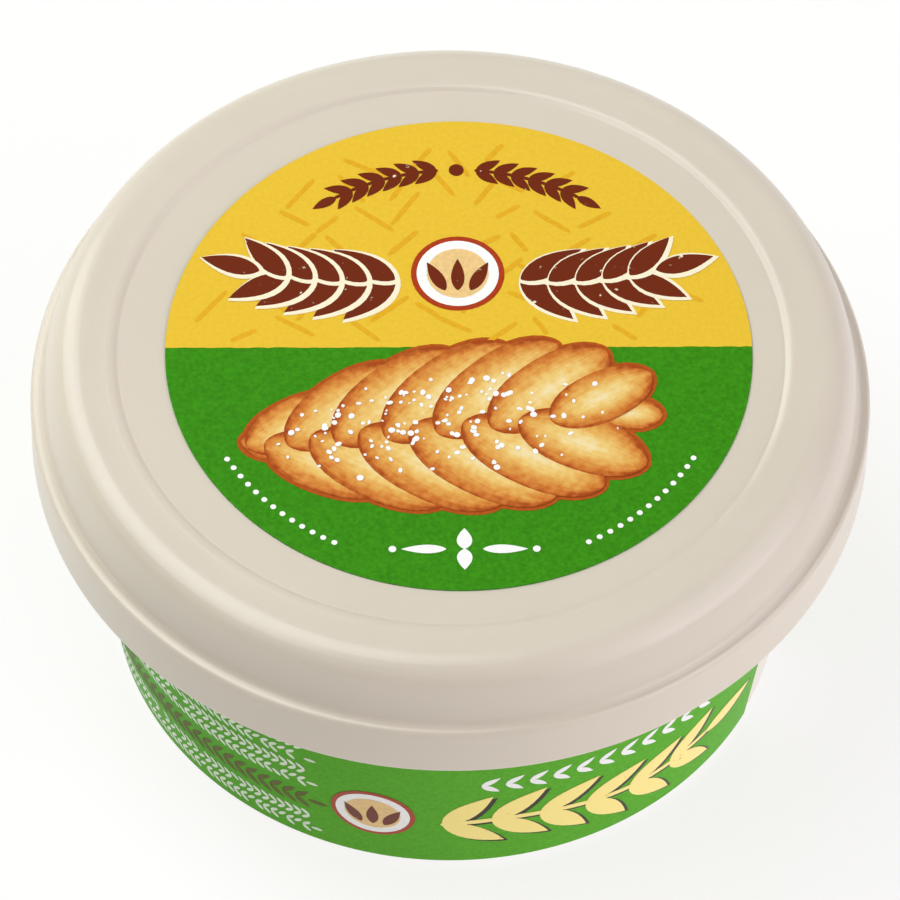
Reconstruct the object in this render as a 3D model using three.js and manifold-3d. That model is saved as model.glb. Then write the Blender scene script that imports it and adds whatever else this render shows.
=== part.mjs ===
// A round plastic tub of bread spread, shut with a press-on lid. A round label lies on the
// lid and another is wrapped round the tub. Millimetres, +Z up, with the origin under the
// middle of the base. The front of the tub faces -Y.
import * as THREE from 'three';
import { mergeVertices } from 'three/addons/utils/BufferGeometryUtils.js';
import Module from 'manifold-3d';

// Driving dimensions of the whole
const lidDiameter = 88;
const overallHeight = 42.7;
const roundSegments = 96;
const filletStepDegrees = 15;

// Lid: a skirt, a ledge and a raised top with a shallow recessed panel
const lidHeight = 13.5;
const lidWall = 1.1;
const raisedHeight = 6.35; // from the foot of the raised wall up to the top ring
const raisedRadius = 42.7; // at the foot of the raised wall
const crownRadius = 40.6; // at the corner that the shoulder rounds off
const shoulderFillet = 3.5;
const browRadius = 42.29; // where the wall turns steeper below the shoulder
const browDrop = 3.17;
const browFillet = 8;
const hollowWidth = 0.5; // of the bevel between the raised wall and the ledge
const hollowDrop = 0.55;
const ledgeDrop = 0.18;
const ledgeFillet = 0.4;
const rimFillet = 0.35;
const panelRadius = 34.9;
const panelSlope = 0.6; // width of the sloped step round the panel
const panelDepth = 0.35;

// Tub: a tapered wall on a low foot ring, with a rim that the lid snaps over
const baseRadius = 35.6;
const wallTaper = 0.125; // growth of the radius for each millimetre of height
const baseFillet = 1.2;
const footWidth = 3.6;
const footSlope = 0.9;
const footHeight = 0.8;
const lidClearance = 0.4;
const rimLift = 2.2; // underside of the rim above the lower edge of the lid
const rimHeight = 2.7;
const rimOverhangRise = 0.7;

// Labels
const lidLabelRadius = 30.6;
const lidLabelThickness = 0.15;
const lidLabelShift = 0.8; // the label lies a little to the right of the middle
const wrapThickness = 0.12;
const wrapGap = 0.05;
const wrapBottom = 0.9;
const wrapTop = 30.6;
const seamStartDegrees = 63; // measured round from the front, towards +X
const seamEndDegrees = 80;

const lidRadius = lidDiameter / 2;
const lidBottom = overallHeight - lidHeight;
const panelTop = overallHeight - panelDepth;
const browHeight = overallHeight - browDrop;
const raisedFoot = overallHeight - raisedHeight;
const ledgeHeight = raisedFoot - hollowDrop;
const ledgeEdgeHeight = ledgeHeight - ledgeDrop;
const wallRadiusAt = (height) => baseRadius + wallTaper * height;

const plastic = { roughness: 0.42, metalness: 0 };
const labelFilm = { roughness: 0.5, metalness: 0 };
const lidMaterial = new THREE.MeshStandardMaterial({ color: '#dcd3c3', ...plastic });
const tubMaterial = new THREE.MeshStandardMaterial({ color: '#e4dccd', ...plastic });
const lidLabelMaterial = new THREE.MeshStandardMaterial({ color: '#3d9120', ...labelFilm });
const wrapMaterial = new THREE.MeshStandardMaterial({ color: '#4a9a38', ...labelFilm });

// Points of a profile given by its corners [radius, height, fillet], with each filleted
// corner replaced by an arc that touches both of its sides.
function roundedProfile(corners) {
  const points = [];
  corners.forEach(([radius, height, fillet], index) => {
    const corner = new THREE.Vector2(radius, height);
    if (!fillet) {
      points.push(corner);
      return;
    }
    const before = new THREE.Vector2(...corners[index - 1].slice(0, 2)).sub(corner).normalize();
    const after = new THREE.Vector2(...corners[index + 1].slice(0, 2)).sub(corner).normalize();
    const half = Math.acos(THREE.MathUtils.clamp(before.dot(after), -1, 1)) / 2;
    const toCentre = before.clone().add(after).normalize();
    const centre = corner.clone().addScaledVector(toCentre, fillet / Math.sin(half));
    const start = corner.clone().addScaledVector(before, fillet / Math.tan(half)).sub(centre);
    const turn = Math.PI - 2 * half;
    const way = Math.sign(after.cross(before));
    const steps = Math.max(2, Math.round(THREE.MathUtils.radToDeg(turn) / filletStepDegrees));
    for (let step = 0; step <= steps; step += 1) {
      const angle = (way * turn * step) / steps;
      points.push(start.clone().rotateAround(new THREE.Vector2(), angle).add(centre));
    }
  });
  return points;
}

// A profile turned about the Z axis
function turned(corners) {
  const geometry = new THREE.LatheGeometry(roundedProfile(corners), roundSegments);
  return geometry.rotateX(Math.PI / 2);
}

function named(name, geometry, material) {
  const mesh = new THREE.Mesh(geometry, material);
  mesh.name = name;
  return mesh;
}

// The lid's cap, from the underside of its top out and round to the recessed panel
function lidGeometry() {
  const innerRadius = lidRadius - lidWall;
  const innerLedge = ledgeEdgeHeight - lidWall;
  const ceiling = panelTop - lidWall;
  return turned([
    [0, ceiling],
    [crownRadius - lidWall / 2, ceiling, shoulderFillet - lidWall],
    [browRadius - lidWall, browHeight],
    [raisedRadius - lidWall, innerLedge],
    [innerRadius, innerLedge],
    [innerRadius, lidBottom, rimFillet],
    [lidRadius, lidBottom, rimFillet],
    [lidRadius, ledgeEdgeHeight, ledgeFillet],
    [raisedRadius + hollowWidth, ledgeHeight],
    [raisedRadius, raisedFoot],
    [browRadius, browHeight, browFillet],
    [crownRadius, overallHeight, shoulderFillet],
    [panelRadius + panelSlope, overallHeight],
    [panelRadius, panelTop],
    [0, panelTop],
  ]);
}

// The filled tub: foot ring, tapered wall, rim inside the skirt, and a plug up under the lid
function tubGeometry() {
  const rimBottom = lidBottom + rimLift;
  const rimTop = rimBottom + rimHeight;
  const rimRadius = lidRadius - lidWall - lidClearance;
  const plugTop = panelTop - lidWall - lidClearance;
  const footInner = baseRadius - footWidth;
  return turned([
    [0, footHeight],
    [footInner - footSlope, footHeight],
    [footInner, 0],
    [baseRadius, 0, baseFillet],
    [wallRadiusAt(rimBottom), rimBottom],
    [rimRadius, rimBottom + rimOverhangRise],
    [rimRadius, rimTop],
    [raisedRadius - lidWall - lidClearance, rimTop],
    [browRadius - lidWall - lidClearance, browHeight],
    [crownRadius - lidWall / 2 - lidClearance, plugTop, shoulderFillet - lidWall],
    [0, plugTop],
  ]);
}

function lidLabelGeometry() {
  const geometry = new THREE.CylinderGeometry(
    lidLabelRadius, lidLabelRadius, lidLabelThickness, roundSegments,
  );
  return geometry.rotateX(Math.PI / 2);
}

// A closed geometry as a solid that can be cut
function toSolid(wasm, geometry) {
  const bare = geometry.clone();
  bare.deleteAttribute('normal');
  bare.deleteAttribute('uv');
  const merged = mergeVertices(bare);
  return new wasm.Manifold(new wasm.Mesh({
    numProp: 3,
    vertProperties: new Float32Array(merged.attributes.position.array),
    triVerts: new Uint32Array(merged.index.array),
  }));
}

function toGeometry(solid) {
  const { vertProperties, triVerts } = solid.getMesh();
  const geometry = new THREE.BufferGeometry();
  geometry.setAttribute('position', new THREE.BufferAttribute(vertProperties, 3));
  geometry.setIndex(new THREE.BufferAttribute(triVerts, 1));
  geometry.computeVertexNormals();
  return geometry;
}

// The wrap-round label: a tapered sleeve with a strip of bare wall between its two ends
function wrapGeometry(wasm) {
  const innerAt = (height) => wallRadiusAt(height) + wrapGap;
  const outerAt = (height) => innerAt(height) + wrapThickness;
  const sleeve = turned([
    [innerAt(wrapBottom), wrapBottom],
    [outerAt(wrapBottom), wrapBottom],
    [outerAt(wrapTop), wrapTop],
    [innerAt(wrapTop), wrapTop],
    [innerAt(wrapBottom), wrapBottom],
  ]);
  const fromFront = (degrees, radius) => {
    const angle = THREE.MathUtils.degToRad(degrees);
    return new THREE.Vector2(radius * Math.sin(angle), -radius * Math.cos(angle));
  };
  const wedge = new THREE.ExtrudeGeometry(
    new THREE.Shape([
      fromFront(seamStartDegrees, baseRadius / 2),
      fromFront(seamStartDegrees, lidDiameter),
      fromFront(seamEndDegrees, lidDiameter),
      fromFront(seamEndDegrees, baseRadius / 2),
    ]),
    { depth: overallHeight, bevelEnabled: false },
  );
  return toGeometry(toSolid(wasm, sleeve).subtract(toSolid(wasm, wedge)));
}

const wasm = await Module();
wasm.setup();

const tubWithLid = new THREE.Group();
tubWithLid.add(named('tub', tubGeometry(), tubMaterial));
tubWithLid.add(named('lid', lidGeometry(), lidMaterial));

const lidLabel = named('lid_label', lidLabelGeometry(), lidLabelMaterial);
lidLabel.position.set(lidLabelShift, 0, panelTop + lidLabelThickness / 2);
tubWithLid.add(lidLabel);

tubWithLid.add(named('tub_label', wrapGeometry(wasm), wrapMaterial));

export default tubWithLid;
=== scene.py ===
import math
import random
import bpy
from mathutils import Matrix, Vector


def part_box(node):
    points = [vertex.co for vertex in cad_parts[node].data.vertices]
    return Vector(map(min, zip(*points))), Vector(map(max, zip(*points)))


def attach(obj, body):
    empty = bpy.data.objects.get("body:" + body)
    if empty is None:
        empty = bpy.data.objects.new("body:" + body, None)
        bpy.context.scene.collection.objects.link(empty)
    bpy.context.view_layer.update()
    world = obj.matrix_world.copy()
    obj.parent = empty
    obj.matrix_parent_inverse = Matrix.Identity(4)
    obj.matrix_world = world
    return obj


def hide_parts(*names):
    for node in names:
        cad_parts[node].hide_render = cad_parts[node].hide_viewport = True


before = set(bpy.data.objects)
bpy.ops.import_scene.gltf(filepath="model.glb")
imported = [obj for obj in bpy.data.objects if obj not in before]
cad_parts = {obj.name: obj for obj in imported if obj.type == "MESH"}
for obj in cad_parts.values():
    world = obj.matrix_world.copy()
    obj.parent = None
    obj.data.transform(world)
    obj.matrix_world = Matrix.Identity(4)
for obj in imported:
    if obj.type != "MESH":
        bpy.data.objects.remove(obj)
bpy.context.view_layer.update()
mm = 0.001
samePlace = 0.001 * mm                                  # points closer than this are one
print("frame loaded:", sorted(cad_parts))

lidLow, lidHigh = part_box("lid")
labelLow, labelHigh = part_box("lid_label")
wrapLow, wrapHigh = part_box("tub_label")
lidRadius, lidTop, lidBottom = lidHigh.x, lidHigh.z, lidLow.z
labelRadius = (labelHigh.x - labelLow.x) / 2
labelCentre = (labelLow + labelHigh) / 2
bpy.context.scene.view_settings.view_transform = "Standard"


# camera, at the photograph's angle

shot = {
    "elevation": math.radians(52.88),
    "distance": 926.3 * mm,                             # from the middle of the lid's top
    "aimRight": 0.06 * mm,
    "aimFront": 12.95 * mm,
    "roll": math.radians(1.01),
    "lens": 355.8,
    "clipEnd": 10.0,
}


def addCamera():
    middle = Vector((0, 0, lidTop))
    back = Vector((0, -math.cos(shot["elevation"]), math.sin(shot["elevation"])))
    eye = middle + back * shot["distance"]
    aim = middle + Vector((shot["aimRight"], -shot["aimFront"], 0))
    forward = (aim - eye).normalized()
    right = forward.cross(Vector((0, 0, 1))).normalized()
    up = right.cross(forward)
    cosRoll, sinRoll = math.cos(shot["roll"]), math.sin(shot["roll"])
    axes = (right * cosRoll + up * sinRoll, up * cosRoll - right * sinRoll, -forward)
    bpy.ops.object.camera_add(location=eye, rotation=Matrix(axes).transposed().to_euler())
    camera = bpy.context.object
    camera.data.lens = shot["lens"]
    camera.data.clip_end = shot["clipEnd"]
    bpy.context.scene.camera = camera


addCamera()
print("camera set")


# shaping helpers

def clearSelection():
    bpy.ops.object.select_all(action="DESELECT")


def editMode(piece):
    bpy.context.view_layer.objects.active = piece
    bpy.ops.object.mode_set(mode="EDIT")


def objectMode():
    bpy.ops.object.mode_set(mode="OBJECT")


def pickVertices(piece, isWanted):                      # ends in edit mode with only these selected
    objectMode()
    for items in (piece.data.polygons, piece.data.edges, piece.data.vertices):
        for item in items:
            item.select = False
    for vertex in piece.data.vertices:
        vertex.select = isWanted(vertex.co)
    editMode(piece)


def onlySelected(piece):
    clearSelection()
    piece.select_set(True)
    bpy.context.view_layer.objects.active = piece


def rename(piece, name):
    piece.name = name
    piece.data.name = name
    return piece


def applyModifier(piece, kind, **settings):
    onlySelected(piece)
    modifier = piece.modifiers.new(kind.title(), kind)
    for key, value in settings.items():
        setattr(modifier, key, value)
    bpy.ops.object.modifier_apply(modifier=modifier.name)


def startPoint(name, radius, height, angle=0.0):        # one vertex, ready to be extruded
    clearSelection()
    bpy.ops.mesh.primitive_plane_add(size=1 * mm)
    piece = rename(bpy.context.object, name)
    editMode(piece)
    bpy.ops.mesh.select_all(action="SELECT")
    bpy.ops.mesh.merge(type="CENTER")
    bpy.ops.transform.translate(value=(radius * math.cos(angle), radius * math.sin(angle), height))
    return piece


def traceProfile(name, corners, roundSteps=8):          # corners: (radius, height, rounding run)
    piece = startPoint(name, corners[0][0], corners[0][1])
    for here, there in zip(corners, corners[1:]):
        step = (there[0] - here[0], 0, there[1] - here[1])
        bpy.ops.mesh.extrude_vertices_move(TRANSFORM_OT_translate={"value": step})
    for radius, height, rounding in corners:
        if rounding:
            corner = Vector((radius, 0, height))
            pickVertices(piece, lambda place: (place - corner).length < samePlace)
            bpy.ops.mesh.bevel(offset=rounding, segments=roundSteps, affect="VERTICES")
    return piece


def spinRound(piece, steps, turn=2 * math.pi):
    bpy.ops.mesh.select_all(action="SELECT")
    bpy.ops.mesh.spin(steps=steps, angle=turn, center=(0, 0, 0), axis=(0, 0, 1))
    bpy.ops.mesh.select_all(action="SELECT")
    bpy.ops.mesh.remove_doubles(threshold=samePlace)
    bpy.ops.mesh.normals_make_consistent(inside=False)
    objectMode()
    onlySelected(piece)
    bpy.ops.object.shade_smooth()


def dress(piece, material, slot, *nodes):               # material, root body, and the node it stands for, which is hidden; slot is not used
    piece.data.materials.clear()
    piece.data.materials.append(material)
    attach(piece, "root")
    if nodes:
        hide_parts(*nodes)
    return piece


# material helpers

noiseSpan = (0.3, 0.7)                                  # most of a noise lies between these


def tone(red, green, blue):                             # a screen colour, 0 to 255, as linear light
    def linear(value):
        value /= 255
        return value / 12.92 if value <= 0.04045 else ((value + 0.055) / 1.055) ** 2.4
    return (linear(red), linear(green), linear(blue), 1.0)


def newMaterial(name, roughness):
    material = bpy.data.materials.new(name)
    material.use_nodes = True
    shader = material.node_tree.nodes["Principled BSDF"]
    shader.inputs["Roughness"].default_value = roughness
    return material, shader


def addNode(material, kind, values=(), **settings):
    made = material.node_tree.nodes.new(kind)
    for key, value in settings.items():
        setattr(made, key, value)
    for key, value in dict(values).items():
        made.inputs[key].default_value = value
    return made


def link(material, source, target):
    material.node_tree.links.new(source, target)


def addNoise(material, grainSize, detail=3.0):          # noise of that grain, on Object coordinates
    coords = addNode(material, "ShaderNodeTexCoord")
    noise = addNode(material, "ShaderNodeTexNoise", {"Scale": 1 / grainSize, "Detail": detail})
    link(material, coords.outputs["Object"], noise.inputs["Vector"])
    return noise


def addRamp(material, source, stops):                   # stops: (place, colour)
    ramp = addNode(material, "ShaderNodeValToRGB")
    elements = ramp.color_ramp.elements
    while len(elements) < len(stops):
        elements.new(0.5)
    for element, (place, colour) in zip(elements, stops):
        element.position = place
        element.color = colour
    link(material, source, ramp.inputs["Fac"])
    return ramp


def addBump(material, shader, height, depth):
    bump = addNode(material, "ShaderNodeBump", {"Distance": depth})
    link(material, height, bump.inputs["Height"])
    link(material, bump.outputs["Normal"], shader.inputs["Normal"])


def shade(colour, amount):                              # the same colour, lighter or darker
    return tuple(min(1.0, channel * amount) for channel in colour[:3]) + (1.0,)


def mottle(material, shader, noise, colour, darkest, lightest):         # the colour, varied by a noise
    tones = (shade(colour, darkest), shade(colour, lightest))
    ramp = addRamp(material, noise.outputs["Fac"], list(zip(noiseSpan, tones)))
    link(material, ramp.outputs["Color"], shader.inputs["Base Color"])


# cream plastic of lid and tub

plasticLook = {
    "lidCream": tone(216, 206, 189),
    "tubCream": tone(228, 221, 207),
    "roughness": 0.3,
    "shine": 0.6,
    "cloudSize": 16 * mm,
    "cloudTones": (0.985, 1.012),                       # darkest and lightest
    "glow": 0.12,                                       # share of the light that goes a little way in
    "glowSpread": (1.0, 0.8, 0.55),                     # red goes deepest
    "glowDepth": 1.2 * mm,
    "ringPitch": 0.55 * mm,                             # turning marks of the mould
    "ringDepth": 0.004 * mm,
    "ringWaver": 0.6,
    "ringDetail": 2.0,
    "waveLength": 0.314,                                # of a wave texture at a scale of one
}


def creamPlastic(name, cream):
    look = plasticLook
    material, shader = newMaterial(name, look["roughness"])
    cloud = addNoise(material, look["cloudSize"])
    mottle(material, shader, cloud, cream, *look["cloudTones"])
    shader.inputs["Specular IOR Level"].default_value = look["shine"]
    shader.inputs["Subsurface Weight"].default_value = look["glow"]
    shader.inputs["Subsurface Radius"].default_value = look["glowSpread"]
    shader.inputs["Subsurface Scale"].default_value = look["glowDepth"]
    waves = {
        "Scale": look["waveLength"] / look["ringPitch"],
        "Distortion": look["ringWaver"],
        "Detail": look["ringDetail"],
    }
    coords = addNode(material, "ShaderNodeTexCoord")
    rings = addNode(material, "ShaderNodeTexWave", waves, wave_type="RINGS", rings_direction="Z")
    link(material, coords.outputs["Object"], rings.inputs["Vector"])
    addBump(material, shader, rings.outputs["Fac"], look["ringDepth"])
    return material


lidPlastic = creamPlastic("lidPlastic", plasticLook["lidCream"])
tubPlastic = creamPlastic("tubPlastic", plasticLook["tubCream"])


# printed film and inks

filmLook = {
    "roughness": 0.3,
    "shine": 0.14,                                      # satin film, duller than bare plastic
    "wrapShine": 0.007,
    "fleckEdge": 0.05,                                  # softness of a fleck's edge
}


def printedMaterial(name, shine=filmLook["shine"]):
    material, shader = newMaterial(name, filmLook["roughness"])
    shader.inputs["Specular IOR Level"].default_value = shine
    return material, shader


def printedInk(name, colour, contrast=0.05, grainSize=0.5 * mm, shine=filmLook["shine"]):
    material, shader = printedMaterial(name, shine)
    grain = addNoise(material, grainSize, detail=4.0)
    mottle(material, shader, grain, colour, 1 - contrast, 1 + contrast)
    return material


def wornInk(name, colour, under, fleckSize, wear):      # ink with flecks of another colour in it
    material, shader = printedMaterial(name)
    fleck = addNoise(material, fleckSize, detail=5.0)
    worn = wear + filmLook["fleckEdge"]
    ramp = addRamp(material, fleck.outputs["Fac"], [(0.0, colour), (wear, colour), (worn, under)])
    link(material, ramp.outputs["Color"], shader.inputs["Base Color"])
    return material


crustLook = {
    "stops": (                                          # from the middle of a strand to its edge
        (0.0, tone(240, 220, 166)),
        (0.14, tone(235, 200, 118)),
        (0.3, tone(223, 163, 79)),
        (0.43, tone(204, 119, 50)),
        (0.55, tone(163, 72, 29)),
    ),
    "streakScale": (3.0, 16.0, 1.0),                    # streaks run along the strand
    "streak": 0.22,                                     # how far streaks and grain shift the shading
    "grain": 0.3,
    "grainSize": 0.8 * mm,
}


def crustInk(name):                                     # shaded across each strand by its own UV map
    look = crustLook
    material, shader = printedMaterial(name)
    strandMap = addNode(material, "ShaderNodeUVMap", uv_map="UVMap")
    middle = addNode(material, "ShaderNodeVectorMath", {1: (0.5, 0.5, 0.0)}, operation="DISTANCE")
    link(material, strandMap.outputs["UV"], middle.inputs[0])
    along = addNode(material, "ShaderNodeMapping", {"Scale": look["streakScale"]})
    link(material, strandMap.outputs["UV"], along.inputs["Vector"])
    streak = addNode(material, "ShaderNodeTexNoise", {"Scale": 1.0, "Detail": 4.0})
    link(material, along.outputs["Vector"], streak.inputs["Vector"])
    grain = addNoise(material, look["grainSize"], detail=5.0)
    total = middle.outputs["Value"]
    for noise, amount in ((streak, look["streak"]), (grain, look["grain"])):
        rough = addNode(material, "ShaderNodeMath", {1: amount, 2: -amount / 2}, operation="MULTIPLY_ADD")
        link(material, noise.outputs["Fac"], rough.inputs[0])
        summed = addNode(material, "ShaderNodeMath", operation="ADD")
        link(material, total, summed.inputs[0])
        link(material, rough.outputs["Value"], summed.inputs[1])
        total = summed.outputs["Value"]
    ramp = addRamp(material, total, look["stops"])
    link(material, ramp.outputs["Color"], shader.inputs["Base Color"])
    return material


inks = {
    "green": tone(58, 138, 22),
    # the wrap's green is the lid's green made lighter: painted light, standing in for the brighter light on
    # the tub's wall
    "wrapGreenPaintedLight": tone(96, 173, 54),
    "yellow": tone(231, 191, 56),
    "ochre": tone(225, 172, 38),
    "brown": tone(112, 44, 22),
    "cream": tone(246, 236, 204),
    "white": tone(246, 246, 242),
    "tan": tone(234, 198, 134),
    "badgeRed": tone(172, 62, 30),
    "crustEdge": tone(176, 84, 30),
    "paleYellow": tone(254, 234, 140),
    "toasted": tone(216, 158, 70),
    "shadowBrown": tone(48, 40, 16),
    "finePrint": tone(226, 240, 214),
    "darkPrint": tone(112, 112, 68),
}

greenFilm = printedInk("greenFilm", inks["green"], contrast=0.18, grainSize=0.45 * mm)
# the wrap film's lighter green is painted light
wrapFilm = printedInk("wrapFilm", inks["wrapGreenPaintedLight"], contrast=0.1, shine=filmLook["wrapShine"])
yellowInk = printedInk("yellowInk", inks["yellow"], contrast=0.04)
ochreInk = printedInk("ochreInk", inks["ochre"], contrast=0.06)
brownInk = wornInk("brownInk", inks["brown"], inks["cream"], fleckSize=0.9 * mm, wear=0.68)
creamInk = printedInk("creamInk", inks["cream"], contrast=0.03)
whiteInk = printedInk("whiteInk", inks["white"], contrast=0.03)
tanInk = printedInk("tanInk", inks["tan"], contrast=0.08)
badgeRedInk = printedInk("badgeRedInk", inks["badgeRed"], contrast=0.1)
crustEdgeInk = printedInk("crustEdgeInk", inks["crustEdge"], contrast=0.15)
paleInk = wornInk("paleInk", inks["paleYellow"], inks["toasted"], fleckSize=1.4 * mm, wear=0.66)
shadowInk = printedInk("shadowInk", inks["shadowBrown"], contrast=0.1)
fineInk = printedInk("fineInk", inks["finePrint"], contrast=0.1, shine=filmLook["wrapShine"])
darkInk = printedInk("darkInk", inks["darkPrint"], contrast=0.1, shine=filmLook["wrapShine"])
goldenInk = crustInk("goldenInk")
print("materials made:", len(bpy.data.materials))


# lid

lidShape = {
    "wall": 1.1 * mm,
    "raisedRadius": 42.7 * mm,                          # at the foot of the raised wall
    "raisedHeight": 6.35 * mm,
    "crownRadius": 40.6 * mm,                           # at the corner that the shoulder rounds off
    "crownRun": 2.1 * mm,
    "browRadius": 42.29 * mm,                           # where the wall turns steeper below the shoulder
    "browDrop": 3.17 * mm,
    "browRun": 1.48 * mm,
    "hollowWidth": 0.5 * mm,                            # bevel between the raised wall and the ledge
    "hollowDrop": 0.5 * mm,
    "hollowRun": 0.3 * mm,
    "ledgeDrop": 0.2 * mm,
    "ledgeRun": 0.5 * mm,
    "rimRun": 0.35 * mm,
    "panelRadius": 34.82 * mm,
    "panelDepth": 0.35 * mm,
    "panelRun": 0.06 * mm,
    "stepRadius": 35.26 * mm,                           # where the panel's steep step turns gentle
    "stepDrop": 0.08 * mm,
    "stepRun": 0.12 * mm,
    "lipRadius": 35.75 * mm,                            # faint lip round the panel
    "lipRise": 0.05 * mm,
    "lipRun": 0.25 * mm,
    "flatStep": 0.8 * mm,                               # keeps the flats flat beside their roundings
    "spinSteps": 192,
}
panelTop = lidTop - lidShape["panelDepth"]
browHeight = lidTop - lidShape["browDrop"]
raisedFoot = lidTop - lidShape["raisedHeight"]
ledgeHeight = raisedFoot - lidShape["hollowDrop"]


def makeLid():
    shape = lidShape
    innerRadius = lidRadius - shape["wall"]
    ledgeEdge = ledgeHeight - shape["ledgeDrop"]
    innerLedge = ledgeEdge - shape["wall"]
    ceiling = panelTop - shape["wall"]
    ringStart = shape["lipRadius"] + shape["flatStep"] / 2
    ringEnd = shape["crownRadius"] - shape["crownRun"]
    lid = traceProfile("lidShell", [
        (0, panelTop, 0),
        (shape["panelRadius"] / 2, panelTop, 0),
        (shape["panelRadius"] - shape["flatStep"], panelTop, 0),
        (shape["panelRadius"], panelTop, shape["panelRun"]),
        (shape["stepRadius"], lidTop - shape["stepDrop"], shape["stepRun"]),
        (shape["lipRadius"], lidTop + shape["lipRise"], shape["lipRun"]),
        (ringStart, lidTop, 0),
        (ringEnd - shape["flatStep"] / 2, lidTop, 0),
        (shape["crownRadius"], lidTop, shape["crownRun"]),
        (shape["browRadius"], browHeight, shape["browRun"]),
        (shape["raisedRadius"], raisedFoot, shape["hollowRun"]),
        (shape["raisedRadius"] + shape["hollowWidth"], ledgeHeight, shape["hollowRun"]),
        (lidRadius, ledgeEdge, shape["ledgeRun"]),
        (lidRadius, ledgeEdge - shape["flatStep"], 0),
        (lidRadius, lidBottom + shape["flatStep"], 0),
        (lidRadius, lidBottom, shape["rimRun"]),
        (innerRadius, lidBottom, shape["rimRun"]),
        (innerRadius, innerLedge, 0),
        (shape["raisedRadius"] - shape["wall"], innerLedge, 0),
        (shape["browRadius"] - shape["wall"], browHeight, 0),
        (shape["crownRadius"] - shape["wall"] / 2, ceiling, shape["crownRun"] - shape["wall"] / 2),
        (0, ceiling, 0),
    ])
    spinRound(lid, shape["spinSteps"])
    return dress(lid, lidPlastic, "lid_plastic", "lid")


makeLid()
print("lid made")


# tub

tubShape = {
    "baseRadius": 35.6 * mm,
    "taper": 0.125,
    "baseRun": 1.06 * mm,
    "footWidth": 3.6 * mm,
    "footSlope": 0.9 * mm,
    "footHeight": 0.8 * mm,
    "rimLift": 2.2 * mm,
    "rimHeight": 2.7 * mm,
    "rimRise": 0.7 * mm,
    "smallRun": 0.3 * mm,
    "plugRun": 1.2 * mm,                                # under the lid's shoulder
    "clearance": 0.4 * mm,
    "spinSteps": 192,
}


def wallRadius(height):                                 # bare wall of the tub
    return tubShape["baseRadius"] + tubShape["taper"] * height


def makeTub():
    shape = tubShape
    rimBottom = lidBottom + shape["rimLift"]
    rimTop = rimBottom + shape["rimHeight"]
    rimRadius = lidRadius - lidShape["wall"] - shape["clearance"]
    inwards = lidShape["wall"] + shape["clearance"]
    plugTop = panelTop - inwards
    footInner = shape["baseRadius"] - shape["footWidth"]
    tub = traceProfile("tubBody", [
        (0, shape["footHeight"], 0),
        (footInner / 2, shape["footHeight"], 0),
        (footInner - shape["footSlope"], shape["footHeight"], shape["smallRun"]),
        (footInner, 0, shape["smallRun"]),
        (shape["baseRadius"], 0, shape["baseRun"]),
        (wallRadius(rimBottom / 2), rimBottom / 2, 0),
        (wallRadius(rimBottom), rimBottom, shape["smallRun"]),
        (rimRadius, rimBottom + shape["rimRise"], shape["smallRun"]),
        (rimRadius, rimTop, shape["smallRun"]),
        (lidShape["raisedRadius"] - inwards, rimTop, 0),
        (lidShape["browRadius"] - inwards, browHeight, 0),
        (lidShape["crownRadius"] - inwards, plugTop, shape["plugRun"]),
        (0, plugTop, 0),
    ])
    spinRound(tub, shape["spinSteps"])
    return dress(tub, tubPlastic, "tub_plastic", "tub")


makeTub()
print("tub made")


# stamps: one flat shape each, 1 long and 1 wide, copied for the print

stampShape = {
    "grainPlump": 0.78,                                 # below one, a grain is widest nearer its foot
    "grainBlunt": 0.85,
    "strandFull": 2.3,
    "strandBlunt": 0.55,
    "strokeEnd": 0.12,                                  # share of a bar's length in each round end
    "tip": 0.02,                                        # least half width
}


def makeStamp(name, halfWidth, columns, rows):          # a grid whose columns follow an outline
    slack = 0.1 / columns                               # well under the width of a column
    clearSelection()
    bpy.ops.mesh.primitive_grid_add(x_subdivisions=columns, y_subdivisions=rows, size=1)
    stamp = rename(bpy.context.object, name)
    for column in sorted(range(columns + 1), key=lambda index: -abs(2 * index - columns)):
        start = column / columns - 0.5
        place = 0.5 - 0.5 * math.cos(math.pi * column / columns)      # closer together at the ends
        width = 2 * max(halfWidth(place), stampShape["tip"])
        pickVertices(stamp, lambda point: abs(point.x - start) < slack)
        bpy.ops.transform.resize(value=(1, width, 1), center_override=(start, 0, 0))
        bpy.ops.transform.translate(value=(place - 0.5 - start, 0, 0))
    objectMode()
    return stamp


def grainOutline(place):                                # plump at the foot, pointed at the tip
    return 0.5 * math.sin(math.pi * place ** stampShape["grainPlump"]) ** stampShape["grainBlunt"]


def strandOutline(place):                               # a full oval
    return 0.5 * (1 - abs(2 * place - 1) ** stampShape["strandFull"]) ** stampShape["strandBlunt"]


def strokeOutline(place):                               # a bar with round ends
    fromEnd = min(1.0, min(place, 1 - place) / stampShape["strokeEnd"])
    return 0.5 * (1 - (1 - fromEnd) ** 2) ** 0.5


def discOutline(place):
    return 0.5 * (1 - (2 * place - 1) ** 2) ** 0.5


def makeDotStamp(name, corners):
    clearSelection()
    bpy.ops.mesh.primitive_circle_add(vertices=corners, radius=0.5, fill_type="TRIFAN")
    return rename(bpy.context.object, name)


grainStamp = makeStamp("grainStamp", grainOutline, columns=12, rows=4)
strandStamp = makeStamp("strandStamp", strandOutline, columns=16, rows=6)
strokeStamp = makeStamp("strokeStamp", strokeOutline, columns=8, rows=2)
discStamp = makeStamp("discStamp", discOutline, columns=22, rows=8)
dotStamp = makeDotStamp("dotStamp", corners=16)
crumbStamp = makeDotStamp("crumbStamp", corners=7)
printLayer = {
    "thickness": 0.012 * mm,
    "overlap": 0.0004 * mm,                             # keeps copies that cross apart
    "overlapSteps": 37,
}


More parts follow.
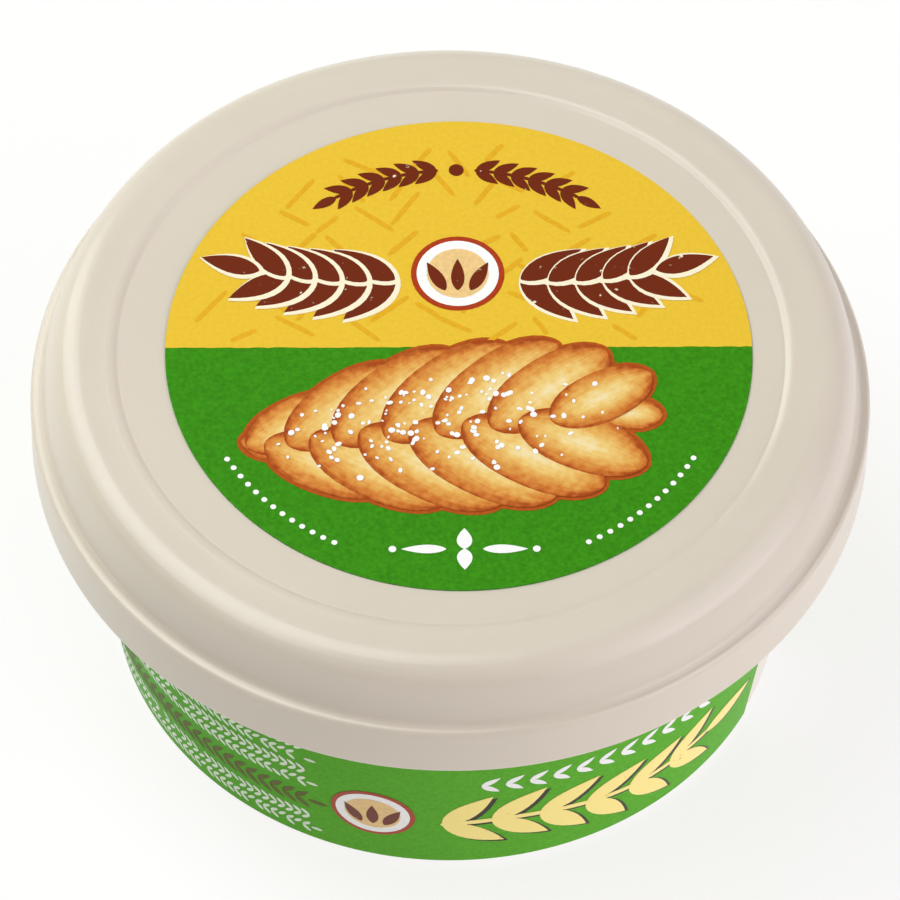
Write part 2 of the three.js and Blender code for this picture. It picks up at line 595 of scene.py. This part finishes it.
def stampPrint(name, *groups):                          # groups: (stamp, spots)
    copies = []
    for stamp, spots in groups:
        for x, y, turn, length, width, lift in spots:
            copy = stamp.copy()
            copy.data = stamp.data.copy()
            height = lift + len(copies) % printLayer["overlapSteps"] * printLayer["overlap"]
            place = Matrix.Translation((x, y, height)) @ Matrix.Rotation(turn, 4, "Z")
            copy.data.transform(place @ Matrix.Diagonal((length, width, 1, 1)))
            bpy.context.collection.objects.link(copy)
            copies.append(copy)
    clearSelection()
    for copy in copies:
        copy.select_set(True)
    bpy.context.view_layer.objects.active = copies[0]
    bpy.ops.object.join()
    printed = rename(bpy.context.object, name)
    applyModifier(printed, "SOLIDIFY", thickness=printLayer["thickness"], offset=-1)
    return printed


def layOnLid(printed, material):                        # from the label's own middle to its place
    place = Matrix.Translation((labelCentre.x, labelCentre.y, labelHigh.z))
    printed.data.transform(place @ Matrix.Rotation(lidLabelShape["turn"], 4, "Z"))
    return dress(printed, material, "lid_label_film")


def grainSpot(foot, turn, length, width, lift):         # a grain or leaf placed by its foot
    middle = foot + Vector((math.cos(turn), math.sin(turn))) * length / 2
    return (middle.x, middle.y, turn, length, width, lift)


def shifted(spots, shift, grow, drop):                  # the same spots as an edge or shadow below
    return [(x + shift.x, y + shift.y, turn, length + grow, width + grow, lift - drop)
            for x, y, turn, length, width, lift in spots]


def bothSides(spots):                                   # the spots and their mirror image
    return spots + [(-x, y, math.pi - turn, *rest) for x, y, turn, *rest in spots]


def pathTurn(path, share, step=0.01):                   # which way the path runs there
    way = path(share + step) - path(share - step)
    return math.atan2(way.y, way.x)


def leafPairs(path, pairs, shape, shrink=0.0, liftStep=0.0):    # leaves along a stem, and one at its tip
    length, width = shape["leaf"]
    spots = []
    for index in range(pairs + 1):
        share = index / pairs
        size = 1 - shrink * share
        for side in (-1, 1) if index < pairs else (0,):
            turn = pathTurn(path, share) + side * shape["splay"]
            lift = shape["lift"] + len(spots) * liftStep
            spots.append(grainSpot(path(share), turn, length * size, width * size, lift))
    return spots


def stemStrokes(path, steps, width, lift, overlap=1.2):         # a stem as short strokes end to end
    spots = []
    for step in range(steps):
        share = (step + 0.5) / steps
        length = (path((step + 1) / steps) - path(step / steps)).length
        middle = path(share)
        spots.append((middle.x, middle.y, pathTurn(path, share), overlap * length, width, lift))
    return spots


# round label on the lid

lidLabelShape = {
    "edgeRound": 0.05 * mm,
    "edgeSteps": 3,
    "corners": 192,
    "turn": math.radians(1.43),                         # the print isn't quite square to the front
    "splitLine": 0.53 * mm,                             # yellow above it, green below
    "splitWaver": 0.05 * mm,
    "waverReach": 0.98,                                 # in shares of the label's radius
    "splitSteps": 90,
    "fieldInset": 0.01 * mm,
    "fieldLift": 0.02 * mm,
    "seed": 11,
}


def makeLidLabel():
    shape = lidLabelShape
    clearSelection()
    bpy.ops.mesh.primitive_circle_add(vertices=shape["corners"], radius=labelRadius, fill_type="NGON")
    film = rename(bpy.context.object, "lidLabelFilm")
    editMode(film)
    bpy.ops.mesh.select_all(action="SELECT")
    bpy.ops.transform.translate(value=(labelCentre.x, labelCentre.y, labelLow.z))
    thickness = labelHigh.z - labelLow.z
    bpy.ops.mesh.extrude_region_move(TRANSFORM_OT_translate={"value": (0, 0, thickness)})
    bpy.ops.mesh.bevel(offset=shape["edgeRound"], segments=shape["edgeSteps"], affect="EDGES")
    bpy.ops.mesh.select_all(action="SELECT")
    bpy.ops.mesh.normals_make_consistent(inside=False)
    objectMode()
    return dress(film, greenFilm, "lid_label_film", "lid_label")


def makeYellowField():
    shape = lidLabelShape
    draw = random.Random(shape["seed"])

    def onSplitLine(point):
        return abs(point.y - shape["splitLine"]) < samePlace

    clearSelection()
    bpy.ops.mesh.primitive_circle_add(vertices=shape["corners"], fill_type="NGON",
                                      radius=labelRadius - shape["fieldInset"])
    field = rename(bpy.context.object, "yellowField")
    editMode(field)
    bpy.ops.mesh.select_all(action="SELECT")
    bpy.ops.transform.translate(value=(0, 0, shape["fieldLift"]))
    bpy.ops.mesh.bisect(plane_co=(0, shape["splitLine"], 0), plane_no=(0, 1, 0), clear_inner=True)
    pickVertices(field, onSplitLine)
    bpy.ops.mesh.subdivide(number_cuts=shape["splitSteps"])
    objectMode()
    for vertex in field.data.vertices:                  # the edge is a little uneven, as if brushed
        if onSplitLine(vertex.co) and abs(vertex.co.x) < shape["waverReach"] * labelRadius:
            vertex.co.y += draw.uniform(-1, 1) * shape["splitWaver"]
    applyModifier(field, "SOLIDIFY", thickness=printLayer["thickness"], offset=-1)
    return layOnLid(field, yellowInk)


makeLidLabel()
makeYellowField()
print("lid label made")


# faint brush strokes in the yellow

strokePattern = {
    "across": 4.5 * mm,
    "down": 3.8 * mm,
    "length": (2.6 * mm, 5.4 * mm),
    "width": 0.55 * mm,
    "tilt": math.radians(42),
    "tiltSpread": 0.3,
    "firstRow": 0.55,                                   # above the split line, in shares of a row
    "shift": 1.1 * mm,
    "margin": 1.0 * mm,
    "share": 0.86,                                      # of the places that get a stroke
    "lift": 0.034 * mm,
    "seed": 4,
}


def makeStrokes():
    shape = strokePattern
    draw = random.Random(shape["seed"])
    bottom, spread = lidLabelShape["splitLine"], shape["tiltSpread"]
    reach = int(labelRadius / shape["across"]) + 1
    spots = []
    for row in range(reach + 2):
        for column in range(-reach, reach + 1):
            x = (column + 0.5 * (row % 2)) * shape["across"] + draw.uniform(-1, 1) * shape["shift"]
            y = bottom + (row + shape["firstRow"]) * shape["down"] + draw.uniform(-1, 1) * shape["shift"]
            length = draw.uniform(*shape["length"])
            tilt = shape["tilt"] * (1 if (row + column) % 2 else -1) + draw.uniform(-spread, spread)
            kept = draw.random() < shape["share"]
            inside = math.hypot(x, y) + length / 2 + shape["margin"] < labelRadius
            above = y - abs(math.sin(tilt)) * length / 2 > bottom + shape["margin"] / 2
            if kept and inside and above:
                spots.append((x, y, tilt, length, shape["width"], shape["lift"]))
    return layOnLid(stampPrint("fieldStrokes", (strokeStamp, spots)), ochreInk)


makeStrokes()


# brown ear of grain on each side, each grain with a cream edge, and an arch of small leaves

earShape = {
    "inner": Vector((6.6 * mm, 9.4 * mm)),
    "bow": Vector((14.0 * mm, 8.6 * mm)),
    "outer": Vector((20.8 * mm, 10.6 * mm)),
    "pairs": 5,
    "leaf": (7.5 * mm, 2.75 * mm),
    "shrink": 0.16,
    "splay": math.radians(38),
    "edgeShift": Vector((0.2 * mm, -0.16 * mm)),
    "edgeGrow": 0.8 * mm,
    "lift": 0.052 * mm,
    "liftStep": 0.003 * mm,
}
archShape = {
    "radius": 24.0 * mm,
    "gap": math.radians(5),
    "reach": math.radians(27),
    "pairs": 6,
    "leaf": (2.9 * mm, 1.15 * mm),
    "splay": math.radians(33),
    "stem": 0.4 * mm,
    "dot": 1.6 * mm,
    "lift": 0.052 * mm,
}


def bowPath(share):                                     # along the stem of an ear
    start = earShape["inner"].lerp(earShape["bow"], share)
    return start.lerp(earShape["bow"].lerp(earShape["outer"], share), share)


def archPath(share):
    angle = math.pi / 2 - archShape["gap"] - share * archShape["reach"]
    return Vector((math.cos(angle), math.sin(angle))) * archShape["radius"]


def makeEars():
    shape = earShape
    grains = bothSides(leafPairs(bowPath, shape["pairs"], shape, shape["shrink"], shape["liftStep"]))
    edges = shifted(grains, shape["edgeShift"], shape["edgeGrow"], shape["liftStep"] / 2)
    layOnLid(stampPrint("earEdges", (grainStamp, edges)), creamInk)
    layOnLid(stampPrint("ears", (grainStamp, grains)), brownInk)


def makeArch():
    shape = archShape
    leaves = bothSides(leafPairs(archPath, shape["pairs"], shape))
    stems = bothSides(stemStrokes(archPath, shape["pairs"], shape["stem"], shape["lift"]))
    middle = [(0, shape["radius"], 0, shape["dot"], shape["dot"], shape["lift"])]
    layOnLid(stampPrint("leafArch", (grainStamp, leaves), (strokeStamp, stems), (dotStamp, middle)), brownInk)


makeEars()
makeArch()
print("ears of grain printed")


# round badge between the ears

badgeShape = {
    "middle": Vector((0, 10.2 * mm)),
    "radius": 4.9 * mm,
    "rim": 0.12,                                        # all below in shares of the radius
    "blot": 0.66,
    "grain": (0.84, 0.29),
    "grainGap": 0.27,
    "grainDrop": 0.46,
    "fan": math.radians(27),
    "lift": 0.052 * mm,
    "step": 0.02 * mm,
}


def badgeLayers(middle, radius):                        # rim, face, blot and grains, one above another
    shape = badgeShape
    lifts = [shape["lift"] + layer * shape["step"] for layer in range(4)]
    rounds = []
    for size, lift in zip((1, 1 - shape["rim"], shape["blot"]), lifts):
        rounds.append([(middle.x, middle.y, 0, 2 * size * radius, 2 * size * radius, lift)])
    length, width = (share * radius for share in shape["grain"])
    grains = []
    for lean in (-1, 0, 1):
        foot = middle + Vector((lean * shape["grainGap"], -shape["grainDrop"])) * radius
        grains.append(grainSpot(foot, math.pi / 2 - lean * shape["fan"], length, width, lifts[3]))
    return (
        ("Rim", badgeRedInk, discStamp, rounds[0]),
        ("Face", whiteInk, discStamp, rounds[1]),
        ("Blot", tanInk, discStamp, rounds[2]),
        ("Grains", brownInk, grainStamp, grains),
    )


for layer, ink, stamp, spots in badgeLayers(badgeShape["middle"], badgeShape["radius"]):
    layOnLid(stampPrint("badge" + layer, (stamp, spots)), ink)


# plaited loaf in the green

loafShape = {
    "middle": Vector((-0.8 * mm, -10.0 * mm)),
    "tilt": math.radians(6),
    "length": 44 * mm,
    "strands": 15,
    "strand": (17.5 * mm, 8.4 * mm),                    # in the middle of the loaf
    "tip": (7.0 * mm, 4.2 * mm),                        # at its ends
    "offset": 4.7 * mm,
    "lean": math.radians(38),
    "tipLean": 0.3,                                     # share of the lean that the ends have
    "swellFull": 2.4,
    "swellBlunt": 0.6,
    "edgeGrow": 0.8 * mm,
    "edgeDrop": 0.03 * mm,
    "lift": 0.06 * mm,
    "liftStep": 0.005 * mm,
    "sugar": 150,
    "sugarSize": (0.3 * mm, 0.8 * mm),
    "sugarNarrow": (0.6, 1.0),
    "sugarAlong": (-0.02, 0.22),                        # middle and spread, in shares of the loaf
    "sugarAcross": (0.08, 0.2),
    "sugarReach": 0.7,                                  # keeps it off the loaf's edge
    "sugarSteps": 4,                                    # above the last strand
    "seed": 21,
}
loafTurn = Matrix.Rotation(loafShape["tilt"], 2)


def loafSpots():                                        # strands from alternate sides, each over the last
    shape = loafShape
    spots = []
    for index in range(shape["strands"]):
        share = 2 * index / (shape["strands"] - 1) - 1
        swell = (1 - abs(share) ** shape["swellFull"]) ** shape["swellBlunt"]
        side = 1 if index % 2 else -1
        along = share * (shape["length"] - shape["tip"][0]) / 2
        place = shape["middle"] + loafTurn @ Vector((along, side * shape["offset"] * swell))
        lean = shape["lean"] * (shape["tipLean"] + (1 - shape["tipLean"]) * swell)
        turn = shape["tilt"] + side * lean
        length, width = Vector(shape["tip"]).lerp(Vector(shape["strand"]), swell)
        layer = index if index < shape["strands"] - 1 else 0            # the last end is tucked under
        spots.append((place.x, place.y, turn, length, width, shape["lift"] + layer * shape["liftStep"]))
    return spots


def sugarSpots():
    shape = loafShape
    draw = random.Random(shape["seed"])
    length, width = shape["length"], 2 * shape["offset"] + shape["strand"][1]
    lift = shape["lift"] + (shape["strands"] + shape["sugarSteps"]) * shape["liftStep"]
    spots = []
    while len(spots) < shape["sugar"]:
        x = draw.gauss(*shape["sugarAlong"]) * length
        y = draw.gauss(*shape["sugarAcross"]) * width
        size = draw.uniform(*shape["sugarSize"])
        turn = draw.uniform(0, math.pi)
        narrow = draw.uniform(*shape["sugarNarrow"])
        if (2 * x / length) ** 2 + (2 * y / width) ** 2 < shape["sugarReach"]:
            place = shape["middle"] + loafTurn @ Vector((x, y))
            spots.append((place.x, place.y, turn, size, size * narrow, lift))
    return spots


def makeLoaf():
    shape = loafShape
    strands = loafSpots()
    edges = [(*spot[:5], shape["lift"]) for spot in strands]
    edges = shifted(edges, Vector((0, 0)), shape["edgeGrow"], shape["edgeDrop"])
    layOnLid(stampPrint("loafEdge", (strandStamp, edges)), crustEdgeInk)
    layOnLid(stampPrint("loafStrands", (strandStamp, strands)), goldenInk)
    layOnLid(stampPrint("loafSugar", (crumbStamp, sugarSpots())), whiteInk)


makeLoaf()
print("loaf printed")


# small white ornaments in the green

ornamentShape = {
    "middle": Vector((0.3 * mm, -25.4 * mm)),
    "sideLeaf": (4.6 * mm, 1.1 * mm),
    "sideGap": 1.9 * mm,
    "midLeaf": (2.6 * mm, 1.6 * mm),
    "endDot": 0.8 * mm,
    "endPlace": 7.4 * mm,
    "arcRadius": 27.8 * mm,
    "arcFrom": math.radians(-62),
    "arcTo": math.radians(-30),
    "arcDots": 13,
    "arcDot": 0.62 * mm,
    "lift": 0.03 * mm,
}


def makeOrnament():
    shape = ornamentShape
    middle, lift = shape["middle"], shape["lift"]
    leaves, dots = [], []
    for side in (-1, 1):
        turn = 0 if side > 0 else math.pi
        foot = middle + Vector((side * shape["sideGap"], 0))
        leaves.append(grainSpot(foot, turn, *shape["sideLeaf"], lift))
        leaves.append(grainSpot(middle, side * math.pi / 2, *shape["midLeaf"], lift))
        end = middle.x + side * shape["endPlace"]
        dots.append((end, middle.y, 0, shape["endDot"], shape["endDot"], lift))
        for index in range(shape["arcDots"]):
            share = index / (shape["arcDots"] - 1)
            angle = shape["arcFrom"] + (shape["arcTo"] - shape["arcFrom"]) * share
            x = side * shape["arcRadius"] * math.cos(angle)
            y = shape["arcRadius"] * math.sin(angle)
            dots.append((x, y, 0, shape["arcDot"], shape["arcDot"], lift))
    layOnLid(stampPrint("ornament", (grainStamp, leaves), (dotStamp, dots)), whiteInk)


makeOrnament()
print("lid print done")


# label wrapped round the tub

wrapShape = {
    "gap": 0.05 * mm,
    "thickness": 0.12 * mm,
    "seamStart": math.radians(63),                      # round from the front, towards +X
    "seamEnd": math.radians(80),
    "spinSteps": 229,
    "heightSteps": 12,
    "smoothAngle": math.radians(30),
    "flatRadius": 37.6 * mm,                            # radius at which the flat print keeps its width
}


def makeWrap():
    shape = wrapShape
    fromFront = shape["seamStart"] - math.pi / 2        # the spin turns clockwise, seen from above
    bottom, top = wrapLow.z, wrapHigh.z
    film = startPoint("tubLabelFilm", wallRadius(bottom) + shape["gap"], bottom, fromFront)
    rise = (top - bottom) / shape["heightSteps"]
    outwards = Vector((math.cos(fromFront), math.sin(fromFront))) * tubShape["taper"] * rise
    for step in range(shape["heightSteps"]):
        bpy.ops.mesh.extrude_vertices_move(TRANSFORM_OT_translate={"value": (outwards.x, outwards.y, rise)})
    spinRound(film, shape["spinSteps"], 2 * math.pi - (shape["seamEnd"] - shape["seamStart"]))
    middle = film.data.polygons[len(film.data.polygons) // 2]
    facesOut = middle.normal.dot(Vector((middle.center.x, middle.center.y, 0))) > 0
    applyModifier(film, "SOLIDIFY", thickness=shape["thickness"], offset=1 if facesOut else -1)
    bpy.ops.object.shade_smooth_by_angle(angle=shape["smoothAngle"])
    return dress(film, wrapFilm, "tub_label_film", "tub_label")


def wrapOnTub(printed, material):                       # x runs round from the front, y is the height
    shape = wrapShape
    outside = shape["gap"] + shape["thickness"]
    for vertex in printed.data.vertices:
        angle = vertex.co.x / shape["flatRadius"]
        reach = wallRadius(vertex.co.y) + outside + vertex.co.z
        vertex.co = (reach * math.sin(angle), -reach * math.cos(angle), vertex.co.y)
    onlySelected(printed)
    bpy.ops.object.shade_smooth_by_angle(angle=shape["smoothAngle"])
    return dress(printed, material, "tub_label_film")


def flatPlace(degrees):                                 # where an angle from the front lies on the flat print
    return math.radians(degrees) * wrapShape["flatRadius"]


makeWrap()
print("wrap label made")


# leafy garland on the wrap label

garlandShape = {
    "runs": ((0, 60), (88, 168), (184, 262)),           # degrees round from the front
    "height": 9.2 * mm,
    "sway": 0.7 * mm,
    "swayLength": 30 * mm,
    "pitch": 4.9 * mm,
    "leaf": (7.8 * mm, 2.75 * mm),
    "splay": math.radians(40),
    "stem": 0.8 * mm,
    "shadow": Vector((0.5 * mm, -0.4 * mm)),
    "shadowDrop": 0.018 * mm,
    "lift": 0.04 * mm,
}


def makeGarland():
    shape = garlandShape
    leaves, stems = [], []
    for start, end in shape["runs"]:
        first = flatPlace(start)
        reach = flatPlace(end) - first - shape["leaf"][0]

        def swayPath(share):
            place = first + share * reach
            sway = shape["sway"] * math.sin(2 * math.pi * place / shape["swayLength"])
            return Vector((place, shape["height"] + sway))

        pairs = int(reach / shape["pitch"])
        leaves += leafPairs(swayPath, pairs, shape)
        stems += stemStrokes(swayPath, 2 * pairs, shape["stem"], shape["lift"])
    below = (shape["shadow"], 0, shape["shadowDrop"])
    groups = ((grainStamp, shifted(leaves, *below)), (strokeStamp, shifted(stems, *below)))
    wrapOnTub(stampPrint("garlandShadow", *groups), shadowInk)
    wrapOnTub(stampPrint("garland", (grainStamp, leaves), (strokeStamp, stems)), paleInk)


makeGarland()


# rows of small leaves on the wrap label, with a darker row among them

rowShape = {
    "from": -88,                                        # degrees round from the front
    "to": -22.6,
    "heights": (3.1, 5.7, 13.2, 15.8, 18.4, 21.0, 23.6),        # of the pale rows, in millimetres
    "pitch": 0.98 * mm,
    "leaf": (1.4 * mm, 0.55 * mm),
    "splay": math.radians(46),
    "skip": 0.08,                                       # share of the leaves left out
    "darkHeight": 9.2 * mm,
    "darkPitch": 1.5 * mm,
    "darkLeaf": (2.4 * mm, 0.78 * mm),
    "lift": 0.022 * mm,
    "seed": 7,
}


def rowOfLeaves(height, pitch, leaf, backwards):
    shape = rowShape
    first, last = (Vector((flatPlace(shape[key]), height)) for key in ("from", "to"))
    if backwards:
        first, last = last, first
    pairs = int((last - first).length / pitch)
    form = {"leaf": leaf, "splay": shape["splay"], "lift": shape["lift"]}
    return leafPairs(lambda share: first.lerp(last, share), pairs, form)


def makeLeafRows():
    shape = rowShape
    draw = random.Random(shape["seed"])
    pale = []
    for index, height in enumerate(shape["heights"]):
        row = rowOfLeaves(height * mm, shape["pitch"], shape["leaf"], index % 2)
        pale += [spot for spot in row if draw.random() > shape["skip"]]
    dark = rowOfLeaves(shape["darkHeight"], shape["darkPitch"], shape["darkLeaf"], False)
    wrapOnTub(stampPrint("paleRows", (crumbStamp, pale)), fineInk)
    wrapOnTub(stampPrint("darkRow", (grainStamp, dark)), darkInk)


makeLeafRows()


# badge before the garland, and white sprigs below the lid's edge

wrapTrim = {
    "badges": (-11.5, 177),                             # degrees round from the front
    "badgeHeight": 10.2 * mm,
    "badgeRadius": 4.6 * mm,
    "sprigRuns": ((6, 56), (96, 164), (188, 254)),
    "sprigHeight": 17.6 * mm,
    "pitch": 2.4 * mm,
    "leaf": (2.4 * mm, 0.85 * mm),
    "splay": math.radians(38),
    "lift": 0.022 * mm,
}


def makeWrapTrim():
    shape = wrapTrim
    layers = []
    for place in shape["badges"]:
        layers.append(badgeLayers(Vector((flatPlace(place), shape["badgeHeight"])), shape["badgeRadius"]))
    for (layer, ink, stamp, front), (*same, back) in zip(*layers):
        wrapOnTub(stampPrint("wrapBadge" + layer, (stamp, front + back)), ink)
    sprigs = []
    for start, end in shape["sprigRuns"]:
        first, last = (Vector((flatPlace(place), shape["sprigHeight"])) for place in (start, end))
        pairs = int((last - first).length / shape["pitch"])
        sprigs += leafPairs(lambda share: first.lerp(last, share), pairs, shape)
    wrapOnTub(stampPrint("wrapSprigs", (grainStamp, sprigs)), whiteInk)


makeWrapTrim()
for stamp in (grainStamp, strandStamp, strokeStamp, discStamp, dotStamp, crumbStamp):
    bpy.data.objects.remove(stamp)
print("wrap print done")


# floor and studio light

studio = {
    "floorSize": 8.0,
    "floor": tone(111, 111, 111),
    "floorRoughness": 0.7,
    "floorGlow": 0.81,                                  # lights the sweep from below, so that it stays white
    "floorGlowTint": (1.0, 0.99, 0.978, 1.0),
    "canopy": {                                         # long soft panel from overhead to the back left
        "azimuth": -54.1,                               # degrees round from the front
        "elevation": 71.7,
        "roll": 87.1,
        "distance": 1.0,
        "across": (-0.46, 0.42),                        # reach in shares of the distance
        "along": (-0.1, 5.0),
        "watts": 51.0,
        "tint": (0.97, 1.0, 0.995),
    },
    "leftLow": {
        "azimuth": -122,
        "elevation": 14,
        "roll": 0,
        "distance": 1.6,
        "across": (-0.4, 0.4),
        "along": (-0.25, 0.25),
        "watts": 2.8,
        "tint": (1.0, 0.93, 0.72),
    },
    "right": {
        "azimuth": 75,
        "elevation": 34,
        "roll": 0,
        "distance": 2.2,
        "across": (-0.5, 0.5),
        "along": (-0.5, 0.5),
        "watts": 23.4,
        "tint": (0.91, 0.935, 1.0),
    },
    "rightLow": {
        "azimuth": 61,
        "elevation": 14,
        "roll": 0,
        "distance": 1.6,
        "across": (-0.6, 0.6),
        "along": (-0.25, 0.25),
        "watts": 7.6,
        "tint": (0.945, 0.87, 1.0),
    },
    "rightFront": {
        "azimuth": 45,
        "elevation": 30,
        "roll": 0,
        "distance": 2.2,
        "across": (-0.36, 0.36),
        "along": (-0.36, 0.36),
        "watts": 6.0,
        "tint": (1.0, 0.74, 0.76),
    },
    "back": {
        "azimuth": 180,
        "elevation": 20,
        "roll": 0,
        "distance": 2.2,
        "across": (-0.5, 0.5),
        "along": (-0.16, 0.16),
        "watts": 2.0,
        "tint": (1.0, 0.97, 0.92),
    },
}


def makeFloor():
    clearSelection()
    bpy.ops.mesh.primitive_plane_add(size=studio["floorSize"])
    floor = rename(bpy.context.object, "floor")
    floorPale, shader = newMaterial("floorPale", studio["floorRoughness"])
    shader.inputs["Base Color"].default_value = studio["floor"]
    shader.inputs["Emission Color"].default_value = studio["floorGlowTint"]
    shader.inputs["Emission Strength"].default_value = studio["floorGlow"]
    floor.data.materials.append(floorPale)


def makePanel(name):                                    # faces the lid; its reach may be lopsided
    panel = studio[name]
    azimuth, elevation, roll = (math.radians(panel[key]) for key in ("azimuth", "elevation", "roll"))
    level = Vector((math.sin(azimuth), -math.cos(azimuth), 0)) * math.cos(elevation)
    away = level + Vector((0, 0, math.sin(elevation)))
    right = Vector((0, 0, 1)).cross(away).normalized()
    up = away.cross(right)
    sideways = right * math.cos(roll) + up * math.sin(roll)
    lengthways = up * math.cos(roll) - right * math.sin(roll)
    distance, across, along = panel["distance"], panel["across"], panel["along"]
    middle = away + sideways * sum(across) / 2 + lengthways * sum(along) / 2
    bpy.ops.object.light_add(type="AREA", location=Vector((0, 0, lidTop)) + middle * distance,
                             rotation=Matrix((sideways, lengthways, away)).transposed().to_euler())
    light = rename(bpy.context.object, name)
    light.data.shape = "RECTANGLE"
    light.data.size = (across[1] - across[0]) * distance
    light.data.size_y = (along[1] - along[0]) * distance
    light.data.energy = panel["watts"]
    light.data.color = panel["tint"]


def makeLights():
    world = bpy.data.worlds.new("studioWorld")          # dark: only the panels and the floor give light
    world.use_nodes = True
    world.node_tree.nodes["Background"].inputs["Color"].default_value = (0, 0, 0, 1)
    bpy.context.scene.world = world
    for name in ("canopy", "leftLow", "right", "rightLow", "rightFront", "back"):
        makePanel(name)


makeFloor()
makeLights()
print("studio set")
